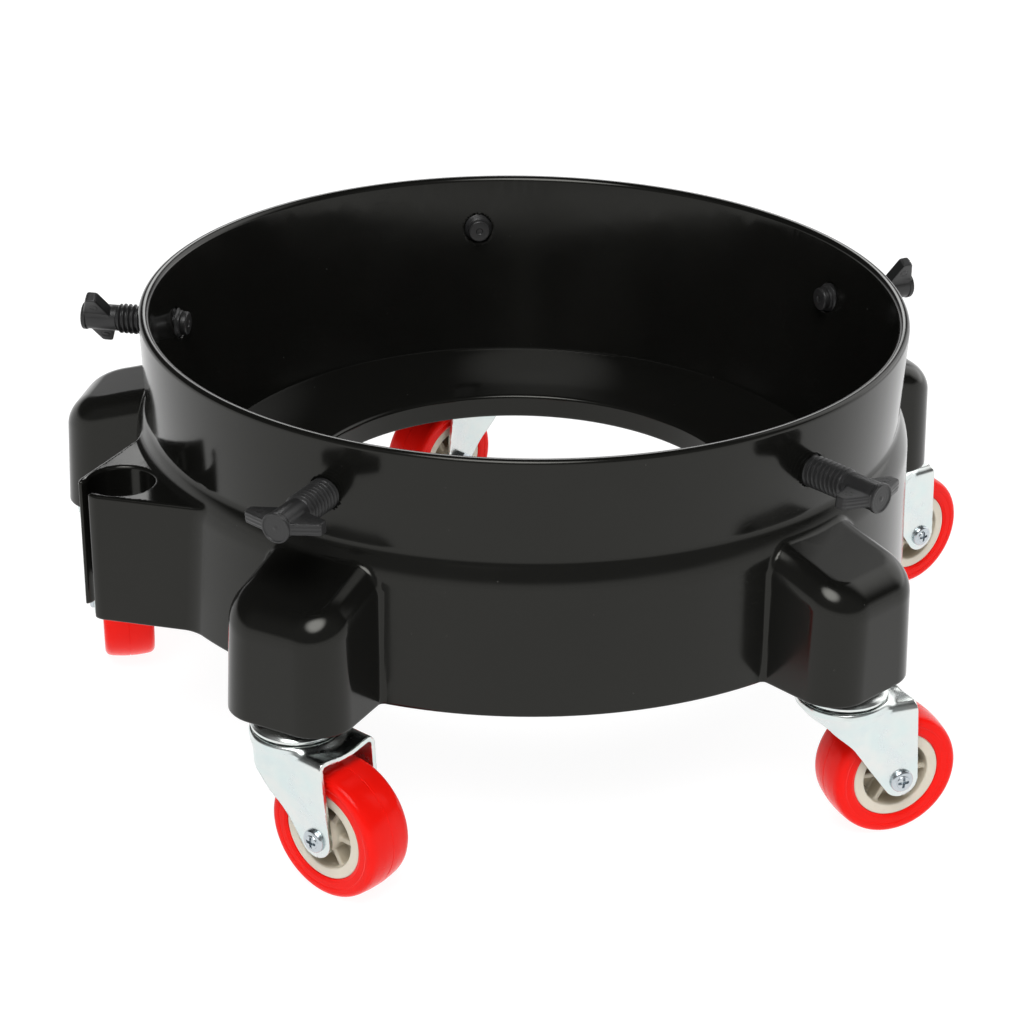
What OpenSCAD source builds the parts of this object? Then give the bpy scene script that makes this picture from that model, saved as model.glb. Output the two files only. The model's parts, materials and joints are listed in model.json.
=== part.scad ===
// Rolling dolly for a wash bucket: a moulded ring that the bucket stands in,
// five swivel casters in housings around it, five winged clamp screws through
// the rim, and a split socket on the outside that holds a wand or a hose.
// The origin is on the ring's axis at the upper edge of the floor opening, +Z up.
// The hose socket is on -X, and the first of the five stations is on +X.

/* [Ring] */
// Outer radius of the rim
rim_r = 150; // [148:0.5:152]
// Thickness of the wall at the rim
rim_wall = 4; // [3.5:0.5:5]
// Height of the rim above the floor opening's edge
rim_z = 81; // [78:0.5:84]
// Height of the crease where the shoulder starts
crease_z = 41.5; // [41:0.5:43]
// Outer radius at the crease
crease_r = 148.5; // [148:0.5:149]
// Height at which the shoulder reaches its full width
shoulder_z = 35; // [34:0.5:36]
// Outer radius at the foot of the shoulder
shoulder_r = 152.7; // [152:0.1:153]
// Height of the skirt's lower edge
skirt_z = -17; // [-18:0.5:-16]
// Outer radius of the skirt's lower edge
skirt_r = 154.8; // [154:0.1:156]
// Radius of the bucket seat where it meets the cone wall
seat_r = 130; // [129:0.5:132]
// Inner radius of the flat part of the seat
seat_inner_r = 112; // [105:1:118]
// Height of the bucket seat
seat_z = 6; // [5:0.5:7]
// Radius of the floor opening
opening_r = 90; // [85:1:95]
// Depth of the collar under the floor opening
collar_h = 9.5; // [8:0.5:12]
// Thickness of the moulded walls
skin = 3; // [2.5:0.25:3.5]

/* [Caster housings] */
// Distance from the ring's axis to the foot of a housing's outer face
housing_r = 187.5; // [186:0.5:190]
// Width of a housing at its foot
housing_w = 49.6; // [49:0.1:52]
// Radius of a housing's upright corners
housing_corner_r = 15; // [12:0.5:17]
// Radius of the edge around a housing's roof
roof_edge_r = 8.5; // [6:0.5:9]
// Slope of a housing's roof
roof_slope = 15; // [12:1:17]
// Draft of a housing's walls
housing_draft = 1.7; // [1:0.1:2]

/* [Casters] */
// Distance from the ring's axis to a caster's stem
stem_at = 170; // [168:0.5:171]
// Radius of the stem
stem_r = 5; // [4:0.5:6]
// Radius of the wheel
wheel_r = 25.4; // [24:0.2:26]
// Width of the tread
tread_w = 20.5; // [18:0.5:21]
// Horizontal distance from the stem to the axle
trail = 20.3; // [18:0.1:22]
// Distance between the fork's legs
fork_gap = 23.2; // [23:0.1:24]
// Thickness of the fork's sheet steel
fork_plate = 2; // [1.5:0.25:2.25]
// Direction in which each caster trails, in degrees from +X
trail_dir = [9, 201, 254, 295, 354];

/* [Clamp screws] */
// Height of the screws' axes
screw_z = 59; // [57:0.5:61]
// Distance from the ring's axis to a screw's outer end
screw_end_at = 180.7; // [178:0.1:182]
// Length of the plain barrel
barrel_l = 14; // [13:0.1:16]
// Radius of the plain barrel
barrel_r = 5.25; // [5:0.05:5.5]
// Length of the threaded shank
thread_l = 27.2; // [26:0.1:28]
// Outer radius of the thread
thread_r = 6; // [5.5:0.25:6.25]
// Distance from one thread crest to the next
thread_pitch = 2; // [1.5:0.25:2.5]
// Distance from a screw's axis to its wing tips
wing_r = 15.5; // [14:0.5:16]
// Thickness of a wing
wing_t = 4.4; // [4:0.1:5]
// Turn of each screw about its own axis, in degrees, 0 with its wings level
screw_turn = [62, 20, 128, -4, 4];

/* [Hose socket] */
// Distance from the ring's axis to the socket's centre
socket_at = 167; // [166:0.5:168]
// Radius of the socket
socket_r = 12.5; // [11:0.5:13]
// Distance from the ring's axis to the ends of the lips
lip_at = 182; // [181:0.5:183]
// Width of the slot between the lips
slot_w = 10; // [8:0.5:11]
// Distance from the socket's centre to each outer side wall
socket_side = 15.2; // [15:0.1:15.6]
// Angle between each side wall and the radial direction
socket_side_angle = 39; // [37:1:41]

/* [Hidden] */
$fn = 96;
station_count = 5;
station_angle = 360 / station_count;
// Height of the surface that the wheels stand on
ground_z = -83;
axle_z = ground_z + wheel_r;
// Clearance of a running fit, and of parts that pass each other
fit = 0.05;
gap = 0.1;
// Overlap that lets a cut run past a face
over = 1;

// Ring
cone_slope = (rim_r - rim_wall - seat_r) / (rim_z - seat_z);
cavity_top_z = 46;
collar_wall = 2.5;
rim_lip = 1;
// Radius inside which a housing or the socket may not reach
joint_r_top = 150.2;
joint_r_bottom = 152.8;

// Caster stack, as heights above the ground
cup_top_h = skirt_z - ground_z;
cup_bottom_h = 60.4;
cup_race_h = 62.6;
cup_r = 16.75;
plate_top_h = 58.3;
dish_r = 17.3;
ball_r = 2;
ball_ring_r = 12.4;
ball_count = 14;
stem_top_z = 9;
rivet_r = 8;
rivet_h = 2;

// Fork leg, as distances from the stem and heights above the axle
leg_end_r = 7;
leg_front = -17;
leg_back = 24.6;

// Axle set
bolt_r = 3;
bolt_head_r = 4.5;
bolt_head_h = 2.4;
recess_l = 4.6;
recess_w = 1.1;
recess_h = 1.2;
nut_af = 10;
nut_h = 5;
sleeve_r = 4.3;

// Wheel
hub_r = 17.2;
hub_rim_inner_r = 12.8;
hub_boss_r = 6.5;
hub_w = 18.6;
hub_boss_w = 21.8;
hub_key_r = 19;
hub_key_w = 6;
hub_web_t = 3;
spoke_count = 6;
spoke_t = 1.8;
spoke_w = 14;

// Housing boss and its threaded insert
boss_r = 12;
boss_bore_r = 5.3;
insert_af = 15;
insert_z = -6;
insert_h = 10;
rib_t = 2.5;

// Screw end
crest_depth = 0.9;
disc_r = 5.6;
disc_h = 0.8;
disc_rim = 1;
disc_dish = 0.3;
tip_r = 4.8;
tip_l = 2.5;
tip_edge = 0.8;
spigot_r = 2;
spigot_l = 5;

// Points of an arc about c, from angle a to angle b
function arc(c, r, a, b, steps = 6) =
    [for (i = [0 : steps]) c + r * [cos(a + (b - a) * i / steps), sin(a + (b - a) * i / steps)]];

// Radius of the inside of the cone wall at height z
function cone_r(z) = seat_r + (z - seat_z) * cone_slope;

// Distance from the socket's centre line to a side wall that is moved in by inset
function side_t(u, inset) =
    (socket_side - inset) / cos(socket_side_angle) - (u - socket_at) * tan(socket_side_angle);

// Puts children at a station, with +X pointing out from the ring
module at_station(k) {
    rotate([0, 0, (k - 1) * station_angle]) children();
}

// Puts children on a caster's stem axis, with +X in the direction of its trail
module at_caster(k) {
    at_station(k)
        translate([stem_at, 0, 0])
            rotate([0, 0, trail_dir[k - 1] - (k - 1) * station_angle]) children();
}

// Puts children on a wheel's axle, with +Z along the axle towards the nut
module at_axle(k) {
    at_caster(k) translate([trail, 0, axle_z]) rotate([-90, 0, 0]) children();
}

// Puts children on a screw's axis, with the origin at its outer end and +Z inwards
module at_screw(k) {
    at_station(k)
        translate([screw_end_at, 0, screw_z])
            rotate([0, -90, 0]) rotate([0, 0, screw_turn[k - 1]]) children();
}

module ring_profile() {
    polygon([
        [rim_r - rim_lip, rim_z],
        [rim_r, rim_z - rim_lip],
        [crease_r, crease_z],
        [crease_r + 2, crease_z - 1.3],
        [shoulder_r - 0.8, shoulder_z + 2.6],
        [shoulder_r, shoulder_z - 1.5],
        [skirt_r, skirt_z],
        [skirt_r - skin, skirt_z],
        [shoulder_r - skin, shoulder_z - 2],
        [cone_r(cavity_top_z) + skin + 2.5, cavity_top_z],
        [cone_r(cavity_top_z) + skin, cavity_top_z],
        [cone_r(seat_z - skin) + skin, seat_z - skin],
        [seat_inner_r, seat_z - skin],
        [opening_r + collar_wall, -skin],
        [opening_r + collar_wall, -collar_h],
        [opening_r, -collar_h],
        [opening_r, 0],
        [seat_inner_r, seat_z],
        [seat_r, seat_z],
        [rim_r - rim_wall, rim_z - rim_lip],
        [rim_r - rim_wall + rim_lip, rim_z],
    ]);
}

// Space inside the skirt, which the housings and the socket stay out of
module skirt_core() {
    rotate_extrude()
        polygon([
            [0, skirt_z - over],
            [joint_r_bottom, skirt_z - over],
            [joint_r_top, shoulder_z + over],
            [joint_r_top - 2.5, crease_z],
            [0, crease_z + over],
        ]);
}

// Distance that a housing's walls have leaned in at height z
function lean(z) = (z - skirt_z + 2 * over) * tan(housing_draft);

// Outer form of a caster housing, moved in by inset on every side that shows
module housing_form(inset) {
    half = housing_w / 2 - inset;
    outer = housing_r - inset;
    corner = housing_corner_r - inset;
    edge = roof_edge_r - inset;
    roof = shoulder_z - inset;
    bottom = inset > 0 ? skirt_z - over : skirt_z;
    root = joint_r_top - 6;
    edge_z = roof - (outer - shoulder_r) * tan(roof_slope) - edge;
    face = outer - lean(edge_z);
    side = half - lean(edge_z);
    reach = 2 * housing_w;
    foot = side + (reach - edge) * tan(housing_draft);
    // The front edge's rounding stops short of the roof and runs out through it
    last = 82 - roof_slope;
    centre = [face - edge, roof - (face - edge - shoulder_r) * tan(roof_slope) - edge / cos(roof_slope)];
    tangent_l = 12;
    intersection() {
        translate([0, 0, bottom])
            linear_extrude(height = roof + over - bottom)
                polygon(concat(
                    [[root, -half]],
                    arc([outer - corner, corner - half], corner, -90, 0),
                    arc([outer - corner, half - corner], corner, 0, 90),
                    [[root, half]]
                ));
        rotate([90, 0, 0])
            linear_extrude(height = 2 * half + over, center = true)
                polygon(concat(
                    [[root, bottom - over], [outer - lean(bottom - over), bottom - over]],
                    arc(centre, edge, 0, last),
                    [centre + edge * [cos(last), sin(last)] + tangent_l * [-sin(last), cos(last)],
                     [root, roof + tangent_l]]
                ));
        translate([shoulder_r, 0, roof])
            rotate([0, roof_slope, 0])
                rotate([90, 0, 90])
                    linear_extrude(height = 2 * reach, center = true)
                        polygon(concat(
                            [[-foot, -reach], [foot, -reach]],
                            arc([side - edge, -edge], edge, 0, 90),
                            arc([edge - side, -edge], edge, 90, 180)
                        ));
    }
}

// Boss for the stem's insert, with ribs to the housing's walls
module housing_boss() {
    intersection() {
        translate([stem_at, 0, skirt_z]) {
            cylinder(r = boss_r, h = shoulder_z - skirt_z);
            translate([0, 0, (shoulder_z - skirt_z) / 2]) {
                cube([housing_w, rib_t, shoulder_z - skirt_z], center = true);
                cube([rib_t, housing_w, shoulder_z - skirt_z], center = true);
            }
        }
        housing_form(skin / 2);
    }
}

module housing() {
    difference() {
        union() {
            difference() {
                housing_form(0);
                housing_form(skin);
            }
            intersection() {
                housing_boss();
                translate([0, 0, skirt_z]) cylinder(r = housing_r, h = shoulder_z - skirt_z);
            }
        }
        skirt_core();
        translate([stem_at, 0, skirt_z - over]) cylinder(r = boss_bore_r, h = stem_top_z + 3 - skirt_z);
        translate([stem_at, 0, insert_z - fit])
            cylinder(d = (insert_af + 2 * fit) / cos(30), h = insert_h + 2 * fit, $fn = 6);
    }
}

module socket_outline(inset) {
    outer = lip_at - inset;
    root = joint_r_top - 5;
    polygon([
        [root, -side_t(root, inset)],
        [outer, -side_t(outer, inset)],
        [outer, side_t(outer, inset)],
        [root, side_t(root, inset)],
    ]);
}

// Split socket on the outside of the skirt, cored out from below beside its bore
module hose_socket() {
    core_wall_r = socket_r + skin;
    difference() {
        translate([0, 0, skirt_z])
            linear_extrude(height = shoulder_z - skirt_z) socket_outline(0);
        skirt_core();
        difference() {
            translate([0, 0, skirt_z - over])
                linear_extrude(height = shoulder_z - skin - skirt_z + over) socket_outline(skin);
            translate([socket_at, 0, skirt_z - 2 * over])
                cylinder(r = core_wall_r, h = shoulder_z - skirt_z + over);
            translate([socket_at, -core_wall_r, skirt_z - 2 * over])
                cube([lip_at - socket_at, 2 * core_wall_r, shoulder_z - skirt_z + over]);
        }
        translate([socket_at, -slot_w / 2, skirt_z - over])
            cube([lip_at - socket_at + over, slot_w, shoulder_z - skirt_z + 2 * over]);
    }
}

module socket_bore() {
    translate([socket_at, 0, skirt_z - over])
        cylinder(r = socket_r, h = shoulder_z - skirt_z + 2 * over);
}

// The ring, its housings and its socket are one moulding
module ring_body() {
    color("#151515")
        difference() {
            union() {
                rotate_extrude() ring_profile();
                for (k = [1 : station_count]) at_station(k) housing();
                rotate([0, 0, 180]) hose_socket();
            }
            for (k = [1 : station_count])
                at_station(k)
                    translate([seat_r, 0, screw_z])
                        rotate([0, 90, 0]) cylinder(r = thread_r + fit, h = rim_r - seat_r + over);
            rotate([0, 0, 180]) socket_bore();
        }
}

// Hexagonal brass inserts that the stems screw into
module stem_inserts() {
    color("#b79a4c")
        for (k = [1 : station_count])
            at_station(k)
                translate([stem_at, 0, insert_z])
                    difference() {
                        cylinder(d = insert_af / cos(30), h = insert_h, $fn = 6);
                        translate([0, 0, -over]) cylinder(r = stem_r + fit, h = insert_h + 2 * over);
                    }
}

// Threaded stem, riveted over under the fork
module stem(k) {
    rivet_top_z = ground_z + plate_top_h - fork_plate - gap;
    color("#c9ccd0")
        at_caster(k) {
            translate([0, 0, rivet_top_z - rivet_h]) cylinder(r = rivet_r, h = rivet_h);
            translate([0, 0, rivet_top_z - over]) cylinder(r = stem_r, h = stem_top_z - rivet_top_z + over);
        }
}

// Upper half of the swivel bearing, clamped against the housing's boss
module race_cup(k) {
    color("#cfd3d6")
        at_caster(k)
            translate([0, 0, ground_z])
                rotate_extrude()
                    polygon([
                        [stem_r + fit, cup_top_h],
                        [13, cup_top_h],
                        [15.6, cup_top_h - 1.4],
                        [cup_r, cup_top_h - 3.8],
                        [cup_r, cup_bottom_h],
                        [cup_r - 1.5, cup_bottom_h],
                        [cup_r - 1.5, cup_race_h - 0.6],
                        [cup_r - 2.5, cup_race_h],
                        [stem_r + fit, cup_race_h],
                    ]);
}

module bearing_balls(k) {
    color("#dfe2e5")
        at_caster(k)
            for (i = [0 : ball_count - 1])
                rotate([0, 0, i * 360 / ball_count])
                    translate([ball_ring_r, 0, ground_z + (plate_top_h + cup_race_h) / 2])
                        sphere(r = ball_r, $fn = 32);
}

// One leg of the fork, seen from the side, with x from the stem and y from the axle
module leg_outline() {
    top = plate_top_h - wheel_r;
    polygon([
        [leg_front, top],
        [leg_front, top - 5],
        [-8, top - 7.4],
        [-1.5, top - 12],
        [trail - 5.9, -3.8],
        [trail + 6.9, -1],
        [leg_back, top - 6],
        [leg_back, top],
    ]);
    translate([trail, 0]) circle(r = leg_end_r);
}

// Pressed steel fork that turns under the race cup
module fork(k) {
    leg_y = (fork_gap + fork_plate) / 2;
    plate_w = fork_gap + 2 * fork_plate;
    color("#c4c9cd")
        at_caster(k)
            difference() {
                union() {
                    for (side = [-1, 1])
                        translate([0, side * leg_y, axle_z])
                            rotate([90, 0, 0])
                                linear_extrude(height = fork_plate, center = true) leg_outline();
                    translate([0, 0, ground_z + plate_top_h - fork_plate]) {
                        cylinder(r = dish_r, h = fork_plate);
                        translate([leg_front, -plate_w / 2, 0])
                            cube([leg_back - leg_front, plate_w, fork_plate]);
                    }
                    translate([0, 0, ground_z + plate_top_h])
                        rotate_extrude() polygon([[15.4, -over], [dish_r, -over], [dish_r, 1.5], [16, 1.5]]);
                }
                translate([0, 0, ground_z + plate_top_h - fork_plate - over])
                    cylinder(r = stem_r + fit, h = fork_plate + 2 * over);
                translate([trail, 0, axle_z])
                    rotate([90, 0, 0]) cylinder(r = bolt_r, h = plate_w + 2 * over, center = true);
            }
}

// Pan-head bolt with a cross recess
module axle_bolt(k) {
    plate_half = fork_gap / 2 + fork_plate;
    color("#d5d8da")
        at_axle(k)
            difference() {
                union() {
                    translate([0, 0, -plate_half - bolt_head_h]) cylinder(r = bolt_head_r, h = bolt_head_h);
                    translate([0, 0, -plate_half - over])
                        cylinder(r = bolt_r, h = 2 * plate_half + nut_h + 2 * over);
                }
                for (turn = [0, 90])
                    rotate([0, 0, turn])
                        translate([0, 0, -plate_half - bolt_head_h])
                            cube([recess_l, recess_w, 2 * recess_h], center = true);
            }
}

// Lock nut with a round collar over its hexagon
module axle_nut(k) {
    collar_l = 1.5;
    color("#c9ccd0")
        at_axle(k)
            translate([0, 0, fork_gap / 2 + fork_plate])
                difference() {
                    union() {
                        cylinder(d = nut_af / cos(30), h = nut_h - collar_l, $fn = 6);
                        cylinder(d = nut_af - 1, h = nut_h);
                    }
                    translate([0, 0, -over]) cylinder(r = bolt_r, h = nut_h + 2 * over);
                }
}

// Steel tube that the fork's legs clamp, and on which the wheel turns
module axle_sleeve(k) {
    color("#b8bcc0")
        at_axle(k)
            difference() {
                cylinder(r = sleeve_r, h = fork_gap, center = true);
                cylinder(r = bolt_r + fit, h = fork_gap + over, center = true);
            }
}

// Moulded hub with spokes and a key ring that the tread is cast around
module wheel_hub(k) {
    color("#d9cfb8")
        at_axle(k)
            difference() {
                union() {
                    difference() {
                        cylinder(r = hub_r, h = hub_w, center = true);
                        cylinder(r = hub_rim_inner_r, h = hub_w + over, center = true);
                    }
                    cylinder(r = hub_key_r, h = hub_key_w, center = true);
                    cylinder(r = hub_boss_r, h = hub_boss_w, center = true);
                    intersection() {
                        for (i = [0 : spoke_count - 1])
                            rotate([0, 0, i * 360 / spoke_count])
                                translate([0, -spoke_t / 2, -spoke_w / 2]) cube([hub_r, spoke_t, spoke_w]);
                        cylinder(r = hub_rim_inner_r + over, h = spoke_w, center = true);
                    }
                }
                for (side = [-1, 1])
                    translate([0, 0, side * (hub_web_t + hub_key_w) / 2]) {
                        recess_h = hub_key_w;
                        difference() {
                            cylinder(r = hub_rim_inner_r, h = recess_h, center = true);
                            cylinder(r = hub_boss_r, h = recess_h + over, center = true);
                            for (i = [0 : spoke_count - 1])
                                rotate([0, 0, i * 360 / spoke_count])
                                    translate([0, -spoke_t / 2, -recess_h])
                                        cube([hub_r, spoke_t, 2 * recess_h]);
                        }
                    }
                cylinder(r = sleeve_r + fit, h = hub_boss_w + over, center = true);
            }
}

// Cast tread with a flat side ring, a rounded shoulder and a shallow crown
module tread(k) {
    side = tread_w / 2;
    crown_side = 6;
    shoulder = wheel_r - 4;
    color("#e0201b")
        at_axle(k)
            rotate_extrude()
                polygon(concat(
                    [[hub_r, -side + 0.6], [hub_r + 2, -side]],
                    [[shoulder, -side], [wheel_r - 1.2, -side + 2], [wheel_r - 0.3, -crown_side]],
                    [[wheel_r, 0]],
                    [[wheel_r - 0.3, crown_side], [wheel_r - 1.2, side - 2], [shoulder, side]],
                    [[hub_r + 2, side], [hub_r, side - 0.6]],
                    [[hub_r, hub_key_w / 2], [hub_key_r, hub_key_w / 2]],
                    [[hub_key_r, -hub_key_w / 2], [hub_r, -hub_key_w / 2]]
                ));
}

// Both wings of a clamp screw, swept back a little towards the ring
module screw_wings() {
    wing = [
        [4, 0.8], [5.5, 1], [wing_r - 0.8, 4.2], [wing_r, 5.2], [wing_r, 8],
        [wing_r - 1, 9], [4.6, 12.4],
    ];
    rotate([90, 0, 0])
        linear_extrude(height = wing_t, center = true)
            polygon(concat(
                wing,
                [for (i = [len(wing) - 1 : -1 : 0]) [-wing[i].x, wing[i].y]]
            ));
}

// Moulded clamp screw: end disc, barrel, wings and a threaded shank
module clamp_screw(k) {
    thread_end = barrel_l + thread_l;
    crests = floor(thread_l / thread_pitch);
    color("#1b1b1c")
        at_screw(k)
            difference() {
                union() {
                    cylinder(r = disc_r, h = disc_h);
                    cylinder(r = barrel_r, h = barrel_l + over);
                    rotate([0, 0, 90]) screw_wings();
                    rotate_extrude()
                        polygon(concat(
                            [[0, barrel_l], [thread_r - crest_depth, barrel_l]],
                            [for (i = [0 : crests - 1], side = [0, 1])
                                [thread_r - side * crest_depth,
                                 barrel_l + (i + 0.5 + side * 0.5) * thread_pitch]],
                            [[thread_r - crest_depth, thread_end], [0, thread_end]]
                        ));
                }
                translate([0, 0, thread_end - spigot_l])
                    cylinder(r = spigot_r + fit, h = spigot_l + over);
                translate([0, 0, -over]) cylinder(r = disc_r - disc_rim, h = over + disc_dish);
            }
}

// Plain end of a clamp screw, which bears on the bucket
module screw_tip(k) {
    face = barrel_l + thread_l + gap;
    color("#1b1b1c")
        at_screw(k) {
            translate([0, 0, face])
                rotate_extrude()
                    polygon([[0, 0], [tip_r, 0], [tip_r, tip_l - tip_edge], [tip_r - tip_edge, tip_l], [0, tip_l]]);
            translate([0, 0, face + gap - spigot_l])
                cylinder(r = spigot_r, h = spigot_l);
        }
}

ring_body();
stem_inserts();
for (k = [1 : station_count]) {
    stem(k);
    race_cup(k);
    bearing_balls(k);
    fork(k);
    axle_bolt(k);
    axle_nut(k);
    axle_sleeve(k);
    wheel_hub(k);
    tread(k);
    clamp_screw(k);
    screw_tip(k);
}
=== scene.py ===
"""Rolling bucket dolly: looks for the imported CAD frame.

Lengths in the shapes are millimetres in the row frame, which has its origin on the ring's axis
at the floor opening's edge, +Z up and the hose socket on -X. Each shape is a signed distance
field, contoured into a mesh with true normals, or a turned profile.
"""

import json
import math

import bmesh
import bpy
import numpy as np
from mathutils import Matrix, Vector


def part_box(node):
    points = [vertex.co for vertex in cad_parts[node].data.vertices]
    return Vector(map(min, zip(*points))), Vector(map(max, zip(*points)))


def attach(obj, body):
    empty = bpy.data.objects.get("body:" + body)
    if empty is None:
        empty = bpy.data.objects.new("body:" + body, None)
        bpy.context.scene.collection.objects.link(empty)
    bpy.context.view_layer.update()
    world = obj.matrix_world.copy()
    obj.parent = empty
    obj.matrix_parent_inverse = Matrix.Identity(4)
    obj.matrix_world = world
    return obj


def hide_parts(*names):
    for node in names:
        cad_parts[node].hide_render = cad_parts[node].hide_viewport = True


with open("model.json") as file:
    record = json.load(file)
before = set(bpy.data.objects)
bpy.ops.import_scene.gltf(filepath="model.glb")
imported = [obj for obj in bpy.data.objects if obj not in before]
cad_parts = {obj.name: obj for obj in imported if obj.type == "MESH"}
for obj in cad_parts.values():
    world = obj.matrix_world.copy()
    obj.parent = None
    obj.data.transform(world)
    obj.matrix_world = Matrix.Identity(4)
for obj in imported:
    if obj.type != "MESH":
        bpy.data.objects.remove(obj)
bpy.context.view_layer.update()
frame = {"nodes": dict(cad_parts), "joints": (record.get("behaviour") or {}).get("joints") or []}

MM = 0.001
STATIONS = range(1, 6)

# Where the ring, the casters and the screws are, from the frame
STATION_STEP = math.tau / 5
JOINTS = {j["name"]: j for j in frame["joints"]}
GROUND_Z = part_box("tread_1")[0].z / MM
RIM_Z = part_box("ring_body")[1].z / MM
SKIRT_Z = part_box("ring_body")[0].z / MM
STEM_AT = math.hypot(*JOINTS["caster_1_swivel"]["pos_m"][:2]) / MM
AXLE_Z = JOINTS["wheel_1_roll"]["pos_m"][2] / MM
SCREW_Z = JOINTS["screw_1_turn"]["pos_m"][2] / MM
SCREW_END_AT = math.hypot(*JOINTS["screw_1_turn"]["pos_m"][:2]) / MM

# How far each screw is turned about its own axis at rest, in degrees
SCREW_TURN = [62, 20, 128, -4, 4]

# Ring
RIM_R, RIM_WALL = 150.0, 4.0
CREASE_R, CREASE_Z, CREASE_FALL = 148.5, 41.5, 4.4
SHOULDER_R, SHOULDER_Z = 152.7, 35.0
SKIRT_R = 154.8
SEAT_R, SEAT_INNER_R, SEAT_Z = 130.0, 112.0, 6.0
OPENING_R, COLLAR_H, COLLAR_WALL = 90.0, 9.5, 2.5
SKIN = 3.0
CAVITY_TOP_R, CAVITY_TOP_Z = 144.0, 46.0
RIM_ROUND, CREASE_ROUND, CREASE_FILLET, FOOT_ROUND = 1.85, 5.0, 1.0, 0.6
SEAT_FILLET, SEAT_ROUND, OPENING_ROUND, CAVITY_ROUND = 0.3, 4.0, 1.0, 1.5

# Caster housings
HOUSING_R, HOUSING_W = 187.5, 49.6
HOUSING_CORNER_R, ROOF_EDGE_R = 15.0, 9.5
ROOF_SLOPE, HOUSING_DRAFT = math.radians(15), math.radians(1.7)
HOUSING_FILLET = 1.5
BOSS_R, BOSS_BORE_R, BOSS_BORE_TOP, RIB_T = 12.0, 5.3, 12.0, 2.5

# Hose socket
SOCKET_AT, SOCKET_R, LIP_AT, SLOT_W = 167.0, 12.5, 182.0, 10.0
SOCKET_SIDE, SOCKET_ANGLE = 15.2, math.radians(39)
SOCKET_FILLET, LIP_ROUND, SOCKET_TOP_ROUND, MOUTH_ROUND = 2.4, 2.2, 1.4, 1.3

# Clamp screws
BARREL_L, BARREL_R, THREAD_L, THREAD_R, THREAD_PITCH = 14.0, 5.25, 27.2, 6.0, 2.0
WING_R, WING_T, DISC_R, TIP_R, TIP_L = 15.5, 4.4, 5.6, 4.8, 2.5
CREST_DEPTH, THREAD_PLAY = 1.1, 0.05
DISC_T, DISC_FACE_DEPTH, TIP_BORE_R, TIP_BORE_L = 1.8, 0.32, 2.05, 5.0

# Casters, with heights above the ground
CUP_TOP_H, RACE_H, CUP_BOTTOM_H, CUP_R = SKIRT_Z - GROUND_Z, 62.7, 60.4, 16.75
PLATE_TOP_H, PLATE_BACK, PLATE_EDGE_R, PLATE_CORNER_R = 58.3, 9.0, 3.6, 6.0
FORK_GAP, FORK_PLATE, LEG_FLARE, REAR_FLARE = 23.2, 2.0, 1.2, 2.5
DISH_R, DISH_RISE, RECESS_R = 17.3, 1.2, 15.2
SINK_DEPTH, SINK_START, SINK_L, SINK_W = 1.6, 13.0, 9.0, 8.0
TRAIL = 20.3
STEM_R, RIVET_R, RIVET_H, STEM_TOP_Z = 5.0, 8.0, 2.0, 9.0
LEG_END_R, LEG_BACK = 7.0, 24.6
BOLT_R, BOLT_HEAD_R, BOLT_HEAD_H = 3.0, 4.5, 2.4
NUT_AF, NUT_H, NUT_HEX_H = 10.0, 5.0, 3.5
SLEEVE_R = 4.3
WHEEL_R, TREAD_W = 25.4, 20.5
HUB_R, HUB_RIM_INNER_R, HUB_W = 17.2, 12.8, 18.6
HUB_BOSS_R, HUB_BOSS_W, HUB_KEY_R, HUB_KEY_W, HUB_WEB_T = 6.5, 21.8, 19.0, 6.0, 3.0
SPOKE_COUNT, SPOKE_T, SPOKE_W, HUB_DRAFT = 6, 2.4, 14.0, 0.035


# ---------------------------------------------------------------- distance fields

def common(a, b, radius=0.0):
    """Where two fields are both inside, with the edge between them rounded."""
    outer = np.hypot(np.maximum(a + radius, 0), np.maximum(b + radius, 0))
    return np.minimum(-radius, np.maximum(a, b)) + outer


def joined(a, b, radius=0.0):
    """Where either field is inside, with a fillet between them."""
    return -common(-a, -b, radius)


def cut(a, b, radius=0.0):
    """The first field with the second taken away."""
    return common(a, -b, radius)


def eased(t):
    """Smooth step from 0 to 1 as t goes from 0 to 1."""
    t = np.clip(t, 0, 1)
    return t * t * (3 - 2 * t)


def beside(u, v, start, end):
    """Distance to the right of the line that runs from start to end."""
    du, dv = end[0] - start[0], end[1] - start[1]
    return ((u - start[0]) * dv - (v - start[1]) * du) / math.hypot(du, dv)


# ---------------------------------------------------------------- contouring

def spaced(start, *spans):
    """Grid lines from start, in spans of (end, step)."""
    lines = [start]
    for end, step in spans:
        count = max(1, round((end - lines[-1]) / step))
        lines.extend(np.linspace(lines[-1], end, count + 1)[1:])
    return np.array(lines)


def straight(x, y, z):
    return x, y, z


def round_axis(r, angle, z):
    return r * np.cos(angle), r * np.sin(angle), z


STENCIL = np.array([(1, -1, -1), (-1, -1, 1), (-1, 1, -1), (1, 1, 1)], float)
STENCIL_STEP = 0.02


def slope(field, points):
    """Unit gradient of a field, which is the surface's normal."""
    total = sum(field(*(points + STENCIL_STEP * corner).T)[:, None] * corner for corner in STENCIL)
    return total / np.maximum(np.linalg.norm(total, axis=1, keepdims=True), 1e-12)


def crossings(field, place, start, stop, f_start, f_stop):
    """Points where the field is zero, between the ends of grid edges."""
    low, high = np.zeros(len(start)), np.ones(len(start))
    f_low, f_high = f_start.copy(), f_stop.copy()
    for _ in range(5):
        t = low + (high - low) * f_low / (f_low - f_high)
        value = field(*place(*(start + (stop - start) * t[:, None]).T))
        same = (value < 0) == (f_start < 0)
        low, high = np.where(same, t, low), np.where(same, high, t)
        f_low, f_high = np.where(same, value, f_low / 2), np.where(same, f_high / 2, value)
    t = low + (high - low) * f_low / (f_low - f_high)
    return np.stack(place(*(start + (stop - start) * t[:, None]).T), 1)


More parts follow.
